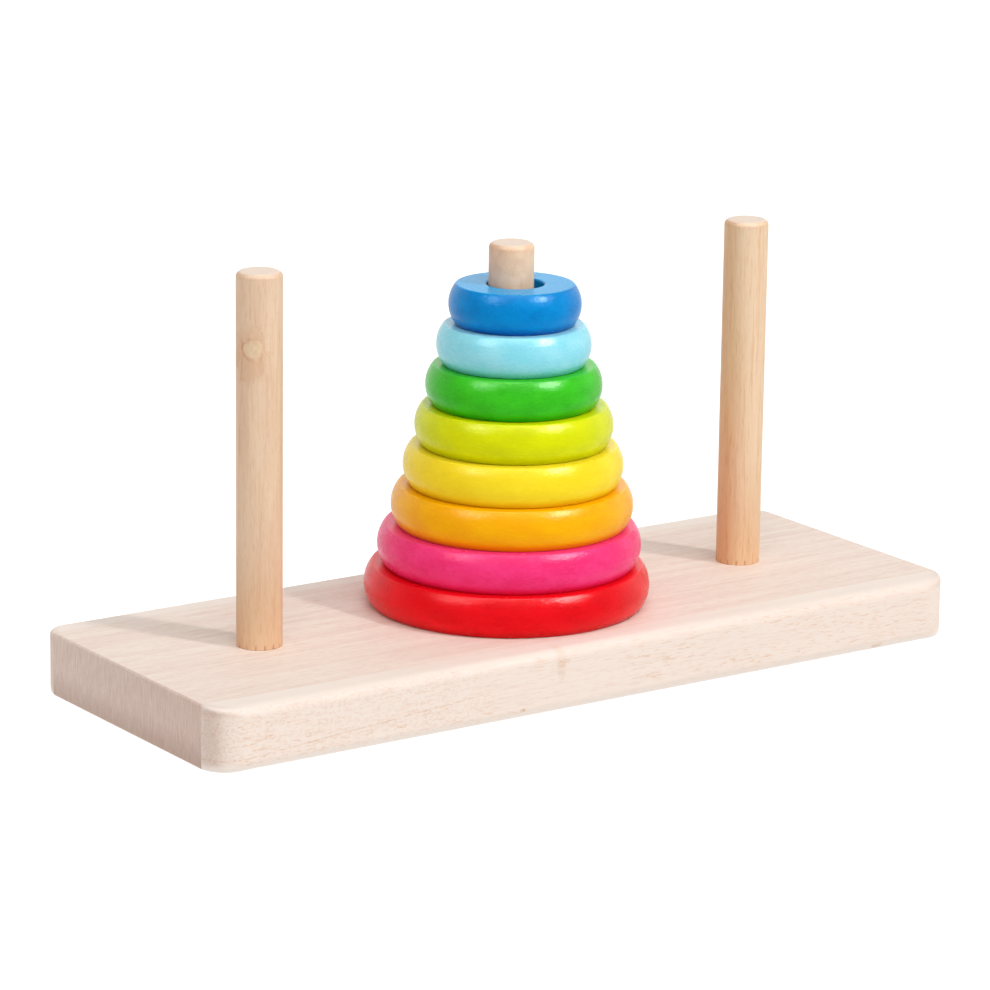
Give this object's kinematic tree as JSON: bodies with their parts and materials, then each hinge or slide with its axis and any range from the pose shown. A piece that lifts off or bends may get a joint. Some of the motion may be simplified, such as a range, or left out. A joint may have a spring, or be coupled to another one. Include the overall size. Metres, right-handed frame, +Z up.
{
  "type": "tower of hanoi puzzle",
  "caption": "Wooden tower of Hanoi puzzle: a rectangular plank with upright pegs and a rainbow stack of loose, rounded rings that shrink towards the top of the middle peg.",
  "frame": {"origin": "centre of the underside of the base board, on the surface it stands on", "axes": "+X along the board from the left peg to the right peg, +Y across the board towards its back, +Z up along the pegs"},
  "size_m": [0.2744, 0.1056, 0.1346],
  "materials": {
    "base_wood": "sanded pale rubberwood, clear matt finish",
    "peg_wood": "smooth tan hardwood dowel, clear matt finish",
    "lacquer_red": "glossy red lacquer on turned wood",
    "lacquer_pink": "glossy pink lacquer on turned wood",
    "lacquer_orange": "glossy orange lacquer on turned wood",
    "lacquer_yellow": "glossy yellow lacquer on turned wood",
    "lacquer_lime": "glossy lime lacquer on turned wood",
    "lacquer_green": "glossy green lacquer on turned wood",
    "lacquer_sky": "glossy light blue lacquer on turned wood",
    "lacquer_blue": "glossy blue lacquer on turned wood"
  },
  "bodies": {
    "base": {"base_board": "base_wood", "peg_left": "peg_wood", "peg_middle": "peg_wood", "peg_right": "peg_wood"},
    "ring_red": {"ring_red": "lacquer_red"},
    "ring_pink": {"ring_pink": "lacquer_pink"},
    "ring_orange": {"ring_orange": "lacquer_orange"},
    "ring_yellow": {"ring_yellow": "lacquer_yellow"},
    "ring_lime": {"ring_lime": "lacquer_lime"},
    "ring_green": {"ring_green": "lacquer_green"},
    "ring_sky": {"ring_sky": "lacquer_sky"},
    "ring_blue": {"ring_blue": "lacquer_blue"}
  },
  "joints": [
    {"name": "lift_red", "type": "slide", "parent": "base", "child": "ring_red", "axis": [0, 0, 1], "range_m": [0, 0.117]},
    {"name": "lift_pink", "type": "slide", "parent": "ring_red", "child": "ring_pink", "axis": [0, 0, 1], "range_m": [0, 0.104]},
    {"name": "lift_orange", "type": "slide", "parent": "ring_pink", "child": "ring_orange", "axis": [0, 0, 1], "range_m": [0, 0.092]},
    {"name": "lift_yellow", "type": "slide", "parent": "ring_orange", "child": "ring_yellow", "axis": [0, 0, 1], "range_m": [0, 0.079]},
    {"name": "lift_lime", "type": "slide", "parent": "ring_yellow", "child": "ring_lime", "axis": [0, 0, 1], "range_m": [0, 0.066]},
    {"name": "lift_green", "type": "slide", "parent": "ring_lime", "child": "ring_green", "axis": [0, 0, 1], "range_m": [0, 0.054]},
    {"name": "lift_sky", "type": "slide", "parent": "ring_green", "child": "ring_sky", "axis": [0, 0, 1], "range_m": [0, 0.041]},
    {"name": "lift_blue", "type": "slide", "parent": "ring_sky", "child": "ring_blue", "axis": [0, 0, 1], "range_m": [0, 0.029]}
  ]
}
